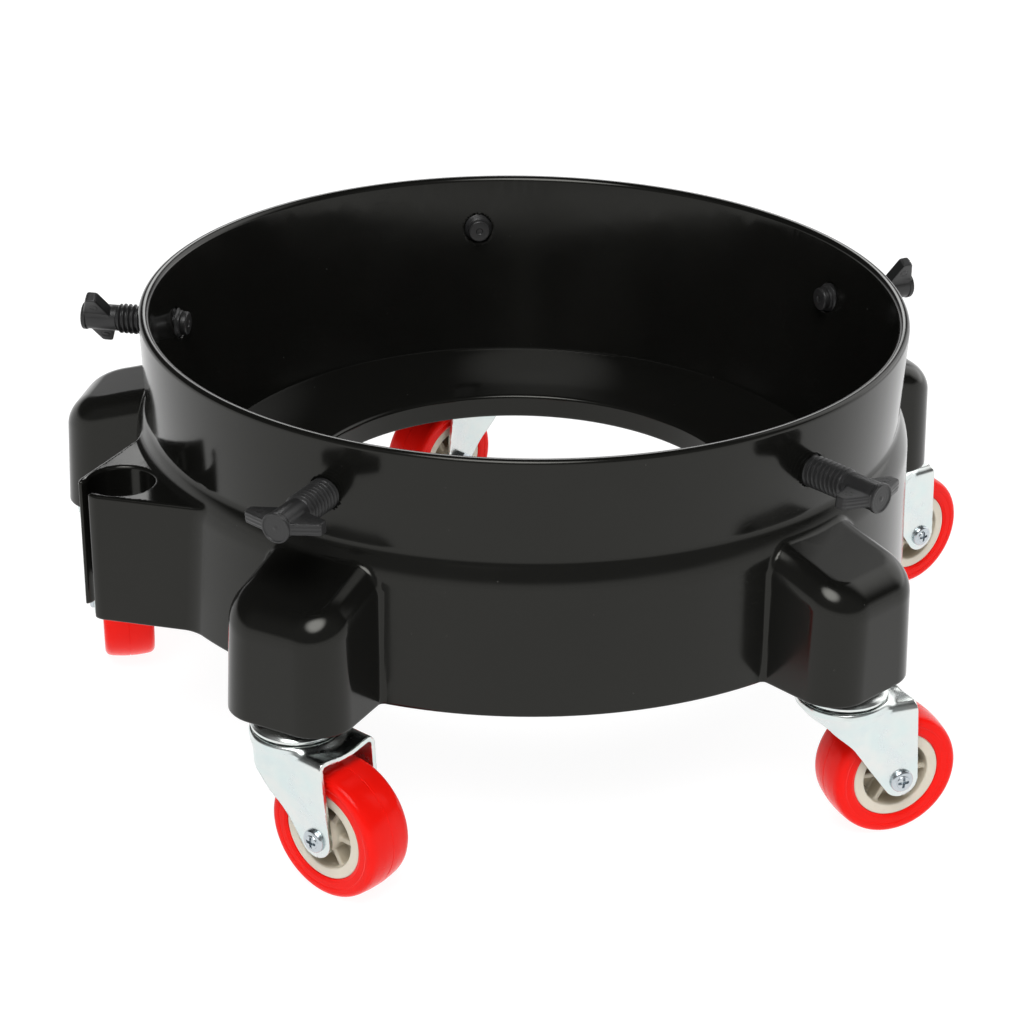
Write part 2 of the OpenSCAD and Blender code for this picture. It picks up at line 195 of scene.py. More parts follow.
def best_points(cells, count, spots, normals):
    """The point in each cell that lies best on the planes through its crossings."""
    total = np.bincount(cells, minlength=count)
    middle = np.stack([np.bincount(cells, spots[:, a], count) for a in range(3)], 1)
    middle /= total[:, None]
    offset = spots - middle[cells]
    reach = np.sqrt(np.bincount(cells, (offset ** 2).sum(1), count) / total)
    along = (normals * offset).sum(1)
    square = np.empty((count, 3, 3))
    side = np.empty((count, 3))
    for a in range(3):
        side[:, a] = np.bincount(cells, normals[:, a] * along, count)
        for b in range(3):
            square[:, a, b] = np.bincount(cells, normals[:, a] * normals[:, b], count)
    size, axis = np.linalg.eigh(square)
    keep = size > 0.07 * size[:, 2:]
    part = np.einsum("nji,nj->ni", axis, side) * np.where(keep, 1 / np.where(keep, size, 1), 0)
    move = np.einsum("nij,nj->ni", axis, part)
    far = np.linalg.norm(move, axis=1) / np.maximum(1.3 * reach, 1e-9)
    return middle + move / np.maximum(far, 1)[:, None]


def contour(field, axes, place=straight, closed=False):
    """Points and quads of the surface where a field is zero.

    With closed, the second axis goes right round.
    """
    values = field(*place(*np.meshgrid(*axes, indexing="ij", sparse=True)))
    shape = values.shape
    lines = [np.append(a, a[0] + math.tau) if closed and d == 1 else a for d, a in enumerate(axes)]
    all_cells, all_spots = [], []
    for d in range(3):
        if closed and d == 1:
            near, far = values, np.roll(values, -1, d)
        else:
            near, far = (np.take(values, range(first, shape[d] - 1 + first), d) for first in (0, 1))
        at = np.argwhere((near < 0) != (far < 0))
        f_near, f_far = near[tuple(at.T)], far[tuple(at.T)]
        start = np.stack([lines[a][at[:, a]] for a in range(3)], 1)
        stop = start.copy()
        stop[:, d] = lines[d][at[:, d] + 1]
        across, up = (d + 1) % 3, (d + 2) % 3
        corners = []
        for back_across, back_up in ((1, 1), (0, 1), (0, 0), (1, 0)):
            cell = at.copy()
            cell[:, across] -= back_across
            cell[:, up] -= back_up
            if closed:
                cell[:, 1] %= shape[1]
            corners.append(np.ravel_multi_index(cell.T, shape))
        corners = np.stack(corners, 1)
        corners = np.where((f_near > 0)[:, None], corners[:, ::-1], corners)
        all_cells.append(corners)
        all_spots.append(crossings(field, place, start, stop, f_near, f_far))
    corners, spots = np.concatenate(all_cells), np.concatenate(all_spots)
    used, quads = np.unique(corners, return_inverse=True)
    quads = quads.reshape(-1, 4)
    normals = slope(field, spots)
    order = np.repeat(np.arange(len(spots)), 4)
    points = best_points(quads.ravel(), len(used), spots[order], normals[order])
    for _ in range(2):
        error = np.clip(field(*points.T), -0.3, 0.3)
        points = points - error[:, None] * slope(field, points)
    return points, quads


def corner_normals(field, points, quads):
    """A normal for each corner of each face, which keeps sharp edges sharp."""
    corner = points[quads]
    flat = np.cross(corner[:, 2] - corner[:, 0], corner[:, -1] - corner[:, 1])
    flat /= np.maximum(np.linalg.norm(flat, axis=1, keepdims=True), 1e-12)
    normals = slope(field, points)[quads]
    turned = (normals * flat[:, None]).sum(2) < math.cos(math.radians(32))
    middle = corner.mean(1)[:, None]
    inward = (corner + 0.35 * (middle - corner))[turned]
    if len(inward):
        fixed = slope(field, inward)
        face = np.broadcast_to(flat[:, None], normals.shape)[turned]
        fixed = np.where(((fixed * face).sum(1) < 0.7)[:, None], face, fixed)
        normals[turned] = fixed
    return normals


def mesh_from(name, points, quads, normals=None):
    mesh = bpy.data.meshes.new(name)
    mesh.vertices.add(len(points))
    mesh.vertices.foreach_set("co", (points * MM).astype(np.float32).ravel())
    mesh.loops.add(quads.size)
    mesh.loops.foreach_set("vertex_index", quads.astype(np.int32).ravel())
    mesh.polygons.add(len(quads))
    starts = np.arange(0, quads.size, quads.shape[1], dtype=np.int32)
    mesh.polygons.foreach_set("loop_start", starts)
    mesh.update(calc_edges=True)
    mesh.shade_smooth()
    if normals is not None:
        mesh.normals_split_custom_set(normals.reshape(-1, 3).tolist())
    return mesh


def field_mesh(name, field, axes, place=straight, closed=False):
    points, quads = contour(field, axes, place, closed)
    return mesh_from(name, points, quads, corner_normals(field, points, quads))


# ---------------------------------------------------------------- turned profiles

def rounded(points, steps=5):
    """Outline through (r, z, radius) corners, each rounded with its radius."""
    out = []
    for i, (r, z, radius) in enumerate(points):
        here = np.array((r, z))
        before = np.array(points[i - 1][:2]) - here
        after = np.array(points[(i + 1) % len(points)][:2]) - here
        if radius == 0:
            out.append(here)
            continue
        before, after = before / np.linalg.norm(before), after / np.linalg.norm(after)
        half = math.acos(np.clip(before @ after, -1, 1)) / 2
        start, end = here + before * radius / math.tan(half), here + after * radius / math.tan(half)
        centre = here + (before + after) / np.linalg.norm(before + after) * radius / math.sin(half)
        for t in np.linspace(0, 1, steps + 1):
            way = (1 - t) * (start - centre) + t * (end - centre)
            out.append(centre + way / np.linalg.norm(way) * radius)
    return np.array(out)


def turned(name, outline, steps=96, sharp=28):
    """Surface of revolution about Z from a closed (r, z) outline, counter-clockwise."""
    angles = np.arange(steps) * math.tau / steps
    count = len(outline)
    r, z = outline[:, 0], outline[:, 1]
    x, y = np.outer(np.cos(angles), r), np.outer(np.sin(angles), r)
    points = np.stack([x, y, np.tile(z, (steps, 1))], 2)
    i, j = np.meshgrid(np.arange(steps), np.arange(count), indexing="ij")
    here, beyond, up = i * count, (i + 1) % steps * count, (j + 1) % count
    quads = np.stack([here + j, beyond + j, beyond + up, here + up], 2).reshape(-1, 4)
    mesh = mesh_from(name, points.reshape(-1, 3), quads)
    tidy = bmesh.new()
    tidy.from_mesh(mesh)
    bmesh.ops.remove_doubles(tidy, verts=tidy.verts, dist=1e-6)
    bmesh.ops.dissolve_degenerate(tidy, edges=tidy.edges, dist=1e-6)
    tidy.to_mesh(mesh)
    tidy.free()
    mesh.shade_smooth()
    mesh.set_sharp_from_angle(angle=math.radians(sharp))
    return mesh


# ---------------------------------------------------------------- ring

def housing_field(u, t, z):
    """Outer form of a caster housing, at u from the axis and t to the side."""
    lean = (z - SKIRT_Z + 2) * math.tan(HOUSING_DRAFT)
    walls = common(t - HOUSING_W / 2 + lean, u - HOUSING_R + lean, HOUSING_CORNER_R)
    roof = (z - SHOULDER_Z + (u - SHOULDER_R) * math.tan(ROOF_SLOPE)) * math.cos(ROOF_SLOPE)
    return common(walls, roof, ROOF_EDGE_R)


def housing_hollow(form, skirt, u, t, z):
    from_stem = np.hypot(u - STEM_AT, t)
    ribs = np.minimum(t, abs(u - STEM_AT)) - RIB_T / 2
    hollow = common(form + SKIN, -skirt, 1.0)
    hollow = cut(hollow, joined(from_stem - BOSS_R, ribs, 0.8), 0.5)
    bore = common(from_stem - BOSS_BORE_R, z - BOSS_BORE_TOP)
    return np.minimum(hollow, bore)


def socket_field(u, t, z):
    """Outer form of the hose socket, which starts inside the skirt."""
    side = t * math.cos(SOCKET_ANGLE) + (u - SOCKET_AT) * math.sin(SOCKET_ANGLE) - SOCKET_SIDE
    form = common(common(side, u - LIP_AT, LIP_ROUND), z - SHOULDER_Z, SOCKET_TOP_ROUND)
    return np.maximum(form, CREASE_R - 10 - u)


def ring_field(x, y, z):
    r = np.hypot(x, y)
    angle = np.arctan2(y, x)
    off = abs(angle - np.round(angle / STATION_STEP) * STATION_STEP)
    u, t = r * np.cos(off), r * np.sin(off)
    socket_u, socket_t = -x, abs(y)

    upper = beside(r, z, (CREASE_R, CREASE_Z), (RIM_R, RIM_Z))
    skirt = beside(r, z, (SKIRT_R, SKIRT_Z), (SHOULDER_R, SHOULDER_Z))
    shoulder = beside(r, z, (SHOULDER_R, CREASE_Z - CREASE_FALL), (CREASE_R, CREASE_Z))
    outside = joined(upper, common(skirt, shoulder, CREASE_ROUND), CREASE_FILLET)
    housing = housing_field(u, t, z)
    socket = socket_field(socket_u, socket_t, z)
    outside = joined(outside, housing, HOUSING_FILLET)
    outside = joined(outside, socket, SOCKET_FILLET)
    outside = common(outside, SKIRT_Z - z, FOOT_ROUND)

    cone = -beside(r, z, (SEAT_R, SEAT_Z), (RIM_R - RIM_WALL, RIM_Z))
    collar_slope = beside(r, z, (SEAT_INNER_R, SEAT_Z), (OPENING_R, 0))
    floor = common(z - SEAT_Z, collar_slope, SEAT_ROUND)
    bowl = common(joined(cone, floor, SEAT_FILLET), OPENING_R - r, OPENING_ROUND)
    body = common(np.maximum(outside, bowl), z - RIM_Z, RIM_ROUND)

    under = joined(floor + SKIN, np.maximum(cone + SKIN, z - CAVITY_TOP_Z), CAVITY_ROUND)
    under = common(under, skirt + SKIN, CAVITY_ROUND)
    slant = beside(r, z, (SHOULDER_R - SKIN, SHOULDER_Z - 2), (CAVITY_TOP_R, CAVITY_TOP_Z))
    under = common(under, slant, CAVITY_ROUND)
    collar = common(r - OPENING_R - COLLAR_WALL, -COLLAR_H - z, 0.5)
    body = cut(body, cut(under, collar, 1.0), 0.5)

    body = cut(body, housing_hollow(housing, skirt, u, t, z), 0.4)
    bore = np.hypot(socket_u - SOCKET_AT, socket_t) - SOCKET_R
    slot = np.maximum(socket_t - SLOT_W / 2, SOCKET_AT - socket_u)
    core = np.maximum(socket + SKIN, SKIN - bore)
    core = np.maximum(core, np.maximum(-skirt, socket_u - SOCKET_AT))
    body = cut(cut(body, core, 0.4), joined(bore, slot, 2.0), MOUTH_ROUND)
    screw_hole = np.maximum(np.hypot(t, z - SCREW_Z) - THREAD_R - THREAD_PLAY, SEAT_R - u)
    return cut(body, screw_hole, 0.35)


def ring_grid():
    """Grid lines for the ring, close together at edges, housings, socket and screw holes."""
    r = spaced(88, (94, 1.2), (110, 2.6), (114, 1.5), (126, 2.6), (145, 1.15), (151, 0.6),
               (158, 1.0), (176, 1.5), (185, 0.9), (189, 0.6))
    z = spaced(SKIRT_Z - 1, (SKIRT_Z + 2, 0.6), (-11, 1.4), (-8, 0.7), (-4, 1.5), (9, 1.1),
               (22, 1.8), (34, 1.1), (36.5, 0.5), (44, 0.9), (51, 1.5), (67, 1.0), (77, 2.6),
               (82, 0.45))
    fine, finer, finest, coarse = (math.radians(a) for a in (0.45, 0.27, 0.225, 1.8))
    half_housing, half_socket, half_lips = (math.radians(a) for a in (12.5, 15.0, 3.6))
    angle = -half_housing
    angles = [np.array([angle])]
    for k in range(5):
        middle = k * STATION_STEP
        angles.append(spaced(angle, (middle + half_housing, fine))[1:])
        angle = middle + half_housing
        if k == 2:
            for off, step in ((-half_socket, coarse), (-half_lips, finer),
                              (half_lips, finest), (half_socket, finer)):
                angles.append(spaced(angle, (math.pi + off, step))[1:])
                angle = math.pi + off
        after = middle + STATION_STEP - half_housing
        angles.append(spaced(angle, (after, coarse))[1:])
        angle = after
    return r, np.concatenate(angles)[:-1], z


# ---------------------------------------------------------------- clamp screw

def wing_field(x, y, z):
    """Both wings, which lie along local y and sweep back along z.

    Each has fine ribs across its front edge and a shallow ring on both faces.
    """
    side = abs(y)
    flat = WING_T / 2
    front_z, back_z = 1.0, 12.4
    front = beside(side, z, (5.5, front_z), (WING_R - 0.8, 4.2))
    back = -beside(side, z, (4.6, back_z), (WING_R, 8.7))
    blade = common(common(front, side - WING_R, 0.9), common(back, z - back_z + 0.1, 1.0), 0.9)
    blade = common(blade, front_z - z, 0.3)
    rib_h, rib_pitch = 0.09, 1.4
    near_front = rib_h * (front > -0.8)
    ribs = np.where(abs(x) < flat - 0.5, np.cos(x * math.tau / rib_pitch), 1) * near_front
    blade = common(blade + ribs, abs(x) - flat, 0.45)
    ring_at, ring_z, ring_r, ring_w, ring_depth = 10.4, 7.0, 1.6, 0.56, 0.22
    mark = abs(np.hypot(side - ring_at, z - ring_z) - ring_r) - ring_w / 2
    return cut(blade, np.maximum(mark, flat - ring_depth - abs(x)), 0.05)


def screw_field(x, y, z):
    """Clamp screw along z from its disc's face, with a helical thread that fades at both ends."""
    r = np.hypot(x, y)
    thread_start, thread_end = BARREL_L, BARREL_L + THREAD_L
    barrel = common(r - BARREL_R, np.maximum(z - thread_start - 0.5, 0.5 - z), 0.2)
    disc = common(r - DISC_R, abs(z - DISC_T / 2) - DISC_T / 2, 0.35)
    phase = (z - thread_start) / THREAD_PITCH - np.arctan2(y, x) / math.tau
    ridge = abs(phase - np.round(phase)) * 2
    lead = np.minimum(z - thread_start, thread_end - z) * 0.8
    crest = THREAD_R - CREST_DEPTH * np.clip(ridge * 1.5 - 0.25, 0, 1)
    crest = np.minimum(crest, THREAD_R - CREST_DEPTH - 0.2 + np.maximum(lead, 0))
    thread = common((r - crest) * 0.72, np.maximum(thread_start - z, z - thread_end), 0.25)
    body = joined(joined(barrel, wing_field(x, y, z), 0.9), disc, 0.4)
    body = np.minimum(body, thread)
    pip = 0.28 * np.exp(-(r / 0.75) ** 2)
    ripple = 0.015 * np.cos(r * math.tau / 1.3) * (r > 1.2)
    body = cut(body, common(r - DISC_R + 0.8, z - DISC_FACE_DEPTH + pip - ripple, 0.15), 0.1)
    return cut(body, np.maximum(r - TIP_BORE_R, thread_end - TIP_BORE_L - z), 0.2)


def screw_grid():
    across = spaced(-7.2, (7.2, 0.33))
    along = spaced(-16.2, (16.2, 0.36))
    return across, along, spaced(-0.6, (1.2, 0.22), (13.6, 0.4), (41.8, 0.24))


def tip_mesh():
    face = BARREL_L + THREAD_L + 0.1
    end, pin_r, pin_l, dimple = face + TIP_L, 2.0, 4.9, 0.35
    outline = rounded([(0, face - pin_l, 0), (pin_r, face - pin_l, 0.4), (pin_r, face, 0.2),
                       (TIP_R, face, 0.3), (TIP_R, end, 0.8), (1.6, end, 0.1),
                       (1.1, end - dimple, 0.2), (0, end - dimple, 0)])
    return turned("screw_tip", outline)


# ---------------------------------------------------------------- caster

def fork_field(x, y, z):
    """Pressed fork about its stem's axis, with x along the trail and z in the frame.

    Its plate sinks between the legs over the wheel, and its legs flare out towards the plate.
    """
    top = GROUND_Z + PLATE_TOP_H
    side = abs(y)
    r = np.hypot(x, y)
    sink = SINK_DEPTH * eased((x - SINK_START) / SINK_L) * np.exp(-(y / SINK_W) ** 2)
    flare = LEG_FLARE * np.clip((z - AXLE_Z - 2) / (top - AXLE_Z), 0, 1)
    flare = flare + REAR_FLARE * eased((11 - x) / 13) * eased((z - AXLE_Z - 1) / 15)
    leg_out = FORK_GAP / 2 + FORK_PLATE
    box = common(side - leg_out - flare, z - top + sink, PLATE_EDGE_R)
    box = common(box, -x - PLATE_BACK, PLATE_CORNER_R)
    taper = np.clip(top - DISH_RISE - z, 0, 20) * 0.8
    dish = common(r - DISH_R + taper, z - top - DISH_RISE, 1.1)
    outer = joined(box, dish, 3.0)
    outer = cut(outer, common(r - RECESS_R, top - z), 0.4)
    sheet = common(outer, -(outer + FORK_PLATE), 0.25)

    h = z - AXLE_Z
    strip_z = PLATE_TOP_H - WHEEL_R - 5.4
    hang = (strip_z - h) * 0.97 - 0.12 * x - 0.6
    front_line = tangent((-3.6, strip_z - 6.6), left=True)
    back_line = tangent((LEG_BACK, strip_z - 0.6), left=False)
    front = beside(x, h, *front_line)
    back = beside(x, h, *back_line[::-1])
    chord = beside(x, h, front_line[1], back_line[1])
    blade = common(joined(hang, front, 9.0), back, 0.8)
    outline = np.minimum(np.maximum(blade, chord), np.hypot(x - TRAIL, h) - LEG_END_R)
    sheet = common(sheet, outline, 0.3)
    sheet = cut(sheet, np.hypot(x - TRAIL, h) - BOLT_R, 0.1)
    return cut(sheet, r - STEM_R - 0.05, 0.3)


def tangent(start, left):
    """A line from start that touches the round end of the leg, as its two ends."""
    away = np.array(start) - (TRAIL, 0)
    reach = np.linalg.norm(away)
    lean = math.acos(LEG_END_R / reach) * (1 if left else -1)
    angle = math.atan2(away[1], away[0]) + lean
    touch = (TRAIL + LEG_END_R * math.cos(angle), LEG_END_R * math.sin(angle))
    return tuple(start), touch


def fork_grid():
    top = GROUND_Z + PLATE_TOP_H
    x = spaced(-18.5, (28, 0.72))
    half = spaced(0, (9.5, 1.1), (19, 0.55))
    z = spaced(AXLE_Z - LEG_END_R - 1, (AXLE_Z + 5, 0.8), (top - 8, 1.1), (top + 2.4, 0.5))
    return x, np.concatenate([-half[:0:-1], half]), z


def bolt_field(x, y, z):
    """Axle bolt with its axis on Z and its head, with a ring and a cross, at the low end."""
    r = np.hypot(x, y)
    plate = FORK_GAP / 2 + FORK_PLATE
    head_z, dome_r = -plate - BOLT_HEAD_H, 9.2
    ring_r, ring_w, ring_depth = 2.95, 0.64, 0.75
    cross_l, cross_w, cross_depth = 4.6, 1.1, 1.5
    dome = np.hypot(r, z - head_z - dome_r) - dome_r
    head = common(common(r - BOLT_HEAD_R, z + plate, 0.15), dome, 0.6)
    end = plate + NUT_H + 1
    phase = z - np.arctan2(y, x) / math.tau
    groove = 0.28 * abs(phase - np.round(phase)) * 2 * (z > 10)
    shank = common((r - BOLT_R + groove) * 0.85, np.maximum(z - end, -plate - 1 - z), 0.4)
    lead = (r + z - end - BOLT_R + 0.9) * 0.7
    body = joined(head, common(shank, lead), 0.1)
    head_ring = abs(r - ring_r) - ring_w / 2
    body = cut(body, common(head_ring, z - head_z - ring_depth, 0.1), 0.25)
    narrow = 0.12 * np.maximum(z - head_z, 0)
    for along, across in ((abs(x), abs(y)), (abs(y), abs(x))):
        slot = common(along - cross_l / 2 + 2 * narrow, across - cross_w / 2 + narrow)
        body = cut(body, common(slot, z - head_z - cross_depth, 0.1), 0.12)
    return body


def bolt_grid():
    plate = FORK_GAP / 2 + FORK_PLATE
    side = spaced(-5, (5, 0.25))
    z = spaced(-plate - 3, (-plate + 0.6, 0.2), (11, 3), (plate + NUT_H + 1.6, 0.22))
    return side, side, z


def nut_field(x, y, z):
    """Lock nut on the far leg, with chamfered corners and a round collar."""
    r = np.hypot(x, y)
    base = FORK_GAP / 2 + FORK_PLATE
    hexagon = -1e9
    for k in range(3):
        angle = k * math.pi / 3
        hexagon = np.maximum(hexagon, abs(x * math.cos(angle) + y * math.sin(angle)) - NUT_AF / 2)
    half = NUT_HEX_H / 2
    cone = (r + abs(z - base - half) * 1.7 - 8.2) * 0.55
    body = common(common(hexagon, abs(z - base - half) - half, 0.2), cone, 0.1)
    collar = common(r - NUT_AF / 2 + 0.6, z - base - NUT_H, 1.0)
    collar = common(collar, base + 1 - z)
    return cut(joined(body, collar, 0.3), r - BOLT_R - 0.02 - np.clip(z - base - 4.4, 0, 1), 0.1)


def nut_grid():
    base = FORK_GAP / 2 + FORK_PLATE
    side = spaced(-6.4, (6.4, 0.3))
    return side, side, spaced(base - 0.6, (base + NUT_H + 0.6, 0.26))


def hub_field(x, y, z):
    """Hub with a rim ring, a boss and spokes, its axis on Z."""
    r = np.hypot(x, y)
    depth = abs(z)
    draft = np.maximum(depth - HUB_WEB_T / 2, 0) * HUB_DRAFT
    rim = common(common(r - HUB_R, HUB_RIM_INNER_R + draft - r), depth - HUB_W / 2, 0.55)
    key = common(r - HUB_KEY_R, depth - HUB_KEY_W / 2)
    key = np.maximum(key, HUB_RIM_INNER_R + 0.6 - r)
    boss = common(r - HUB_BOSS_R + draft, depth - HUB_BOSS_W / 2, 0.5)
    web = np.maximum(r - HUB_RIM_INNER_R - 1, depth - HUB_WEB_T / 2)
    step = math.tau / SPOKE_COUNT
    angle = np.arctan2(y, x)
    across = r * abs(np.sin(angle - np.round(angle / step) * step))
    spoke = common(across - SPOKE_T / 2 + draft * 0.6, depth - SPOKE_W / 2, 0.45)
    spoke = np.maximum(spoke, r - HUB_RIM_INNER_R - 1)
    body = joined(joined(joined(web, spoke, 0.8), boss, 0.9), rim, 0.9)
    body = joined(body, key, 0.05)
    return cut(body, r - SLEEVE_R - 0.05, 0.3)


def hub_grid():
    half = spaced(0, (1.0, 0.5), (4.5, 0.5), (6.0, 0.75), (8.4, 0.6), (12, 0.4))
    r = spaced(3.2, (8, 0.55), (12, 0.8), (19.8, 0.42))
    return r, np.arange(132) * math.tau / 132, np.concatenate([-half[:0:-1], half])


def tread_outline():
    """Half of the tread's section from its outer face to the crown, mirrored."""
    side = TREAD_W / 2
    seam_w, seam_d = 0.28, 0.16
    seat_r, key_r, key_side = HUB_R + 0.02, HUB_KEY_R + 0.02, HUB_KEY_W / 2 + 0.02
    half = [(WHEEL_R, seam_w, 0.1), (WHEEL_R - 0.12, 3.6, 14), (WHEEL_R - 0.5, 7.2, 6),
            (WHEEL_R - 1.3, side, 2.6), (WHEEL_R - 4.2, side, 0.5),
            (WHEEL_R - 4.7, side - 0.22, 0.3), (HUB_R + 1.3, side - 0.22, 0.5),
            (seat_r, side - 0.75, 0.3), (seat_r, key_side, 0), (key_r, key_side, 0)]
    low = [(r, -z, radius) for r, z, radius in half[::-1]]
    groove = [(WHEEL_R - seam_d, -seam_w / 2, 0), (WHEEL_R - seam_d, seam_w / 2, 0)]
    return rounded(low + groove + half)


def cup_outline():
    top, low, race = (GROUND_Z + h for h in (CUP_TOP_H - 0.02, CUP_BOTTOM_H, RACE_H))
    inner, bore = CUP_R - 1.3, STEM_R + 0.06
    return rounded([(bore, race, 0), (inner - 1, race, 0.5), (inner, race - 0.9, 0.4),
                    (inner, low, 0.25), (CUP_R, low, 0.4), (CUP_R, low + 1.1, 0.45),
                    (16.0, low + 1.9, 0.6), (11.4, top, 2.0), (bore, top, 0)])


def stem_outline():
    plate = GROUND_Z + PLATE_TOP_H - FORK_PLATE - 0.1
    rivet, pitch = plate - RIVET_H, 1.5
    outline = [(0, rivet, 0), (2.2, rivet, 0.3), (2.6, rivet + 0.3, 0.3), (4.6, rivet, 1.0),
               (RIVET_R, plate - 0.9, 0.8), (RIVET_R, plate, 0.1), (STEM_R, plate, 0.1)]
    start, end = plate + 7.5, STEM_TOP_Z - 1.2
    outline.append((STEM_R, start, 0.1))
    for ridge in range(int((end - start) / pitch)):
        base = start + 0.3 + ridge * pitch
        outline += [(STEM_R - 0.75, base + 0.55, 0.15), (STEM_R, base + 1.3, 0.08)]
    outline += [(STEM_R, STEM_TOP_Z - 0.9, 0.1), (STEM_R - 0.9, STEM_TOP_Z, 0.1),
                (0, STEM_TOP_Z, 0)]
    return rounded(outline, steps=3)


# ---------------------------------------------------------------- materials

class Nodes:
    """A node tree with short names for the nodes that do sums."""

    def __init__(self, tree):
        self.tree = tree

    def node(self, kind, **inputs):
        made = self.tree.nodes.new(kind)
        for key, value in inputs.items():
            self.put(made.inputs[key.replace("_", " ")], value)
        return made

    def put(self, socket, value):
        if isinstance(value, bpy.types.NodeSocket):
            self.tree.links.new(value, socket)
        else:
            socket.default_value = value

    def span(self, value, low, high, to_low=0.0, to_high=1.0):
        made = self.node("ShaderNodeMapRange")
        for i, entry in enumerate((value, low, high, to_low, to_high)):
            self.put(made.inputs[i], entry)
        return made.outputs["Result"]

    def math(self, operation, a, b=0.0):
        made = self.tree.nodes.new("ShaderNodeMath")
        made.operation = operation
        self.put(made.inputs[0], a)
        self.put(made.inputs[1], b)
        return made.outputs["Value"]


class Look(Nodes):
    """A material with a Principled shader and short names for the patterns that feed it."""

    def __init__(self, name, **settings):
        self.material = bpy.data.materials.new(name)
        self.material.use_nodes = True
        super().__init__(self.material.node_tree)
        self.shader = self.tree.nodes["Principled BSDF"]
        for key, value in settings.items():
            self.shader.inputs[key.replace("_", " ")].default_value = value
        self.place = self.node("ShaderNodeTexCoord").outputs["Object"]

    def stretched(self, scale, spin=(0, 0, 0)):
        made = self.node("ShaderNodeMapping", Vector=self.place, Scale=scale)
        made.inputs["Rotation"].default_value = spin
        return made.outputs["Vector"]

    def noise(self, size, detail=3.0, vector=None):
        """Smooth noise whose features are about size millimetres across."""
        made = self.node("ShaderNodeTexNoise", Vector=vector or self.place, Scale=1 / (size * MM),
                         Detail=detail, Roughness=0.55)
        return made.outputs["Fac"]

    def spots(self, size):
        """Distance to the nearest of many points that are about size millimetres apart."""
        made = self.node("ShaderNodeTexVoronoi", Vector=self.place, Scale=1 / (size * MM))
        return made.outputs["Distance"]

    def blend(self, factor, a, b):
        made = self.tree.nodes.new("ShaderNodeMix")
        made.data_type = "RGBA"
        for i, value in ((0, factor), (6, a), (7, b)):
            colour = isinstance(value, tuple)
            self.put(made.inputs[i], (*value, 1.0) if colour else value)
        return made.outputs[2]

    def bump(self, *layers):
        """Each layer is a height socket and its depth in millimetres."""
        normal = None
        for height, depth in layers:
            made = self.node("ShaderNodeBump", Height=height, Distance=depth * MM, Strength=1.0)
            if normal:
                self.tree.links.new(normal, made.inputs["Normal"])
            normal = made.outputs["Normal"]
        self.put(self.shader.inputs["Normal"], normal)

    def set(self, **sockets):
        for key, value in sockets.items():
            self.put(self.shader.inputs[key.replace("_", " ")], value)


def scratches(look, size, spin, share=0.035):
    """Fine straight hairlines in one direction, 1 on a line and 0 beside it."""
    line = look.noise(size, 1.0, look.stretched((1, 26, 26), spin))
    away = look.math("ABSOLUTE", look.math("SUBTRACT", line, 0.5))
    near = look.span(away, 0.0, share * 0.18, 1.0, 0.0)
    patch = look.span(look.noise(size * 1.8, 2.0), 0.55, 0.68)
    return look.math("MULTIPLY", near, patch)


def gloss_black():
    look = Look("ring_gloss_black", Specular_IOR_Level=0.31, IOR=1.49,
                Specular_Tint=(1.0, 0.995, 0.93, 1.0))
    haze = look.noise(38, 4.0)
    marks = look.math("MAXIMUM", scratches(look, 30, (0.3, 0.2, 0.9)),
                      scratches(look, 24, (1.2, 0.5, 2.1)))
    dust = look.span(look.spots(6.5), 0.02, 0.055, 1.0, 0.0)
    dust = look.math("MULTIPLY", dust, look.span(look.noise(14, 1.0), 0.56, 0.6))
    base = look.blend(haze, (0.0046, 0.0046, 0.0041), (0.0072, 0.0072, 0.0064))
    base = look.blend(look.math("MULTIPLY", dust, 0.4), base, (0.07, 0.07, 0.065))
    smooth = look.span(haze, 0.3, 0.7, 0.10, 0.17)
    rough = look.math("ADD", smooth, look.math("MULTIPLY", marks, 0.16))
    look.set(Base_Color=base, Roughness=look.math("ADD", rough, look.math("MULTIPLY", dust, 0.3)))
    look.bump((look.noise(9, 2.0), 0.012), (look.noise(1.6, 2.0), 0.0016), (marks, -0.004))
    return look.material


def satin_black():
    look = Look("screw_satin_black", Specular_IOR_Level=0.42, IOR=1.5)
    cloud = look.noise(7, 3.0)
    grain = look.noise(0.35, 2.0)
    base = look.blend(cloud, (0.015, 0.015, 0.0152), (0.023, 0.023, 0.0232))
    look.set(Base_Color=base, Roughness=look.span(cloud, 0.25, 0.75, 0.3, 0.46))
    look.bump((grain, 0.02), (look.noise(3, 2.0), 0.02))
    return look.material


def zinc_plate():
    look = Look("zinc_plated_sheet", Metallic=1.0)
    bloom = look.noise(9, 4.0)
    tint = look.noise(15, 2.0, look.stretched((1, 0.6, 1.4), (0.4, 0.1, 0.3)))
    grain = look.noise(1.2, 3.0, look.stretched((1, 1, 7)))
    spangle = look.spots(2.4)
    base = look.blend(look.span(tint, 0.35, 0.65), (0.66, 0.745, 0.735), (0.735, 0.75, 0.73))
    base = look.blend(look.span(bloom, 0.45, 0.8, 0.0, 0.45), base, (0.60, 0.66, 0.70))
    speck = look.span(look.spots(3.1), 0.03, 0.09, 1.0, 0.0)
    speck = look.math("MULTIPLY", speck, look.span(look.noise(6), 0.55, 0.62))
    base = look.blend(look.math("MULTIPLY", speck, 0.22), base, (0.40, 0.42, 0.44))
    rough = look.span(bloom, 0.3, 0.7, 0.18, 0.27)
    rough = look.math("ADD", rough, look.math("MULTIPLY", spangle, 0.04))
    look.set(Base_Color=base, Roughness=rough)
    look.bump((grain, 0.0025), (look.noise(6, 2.0), 0.022), (spangle, 0.001))
    return look.material


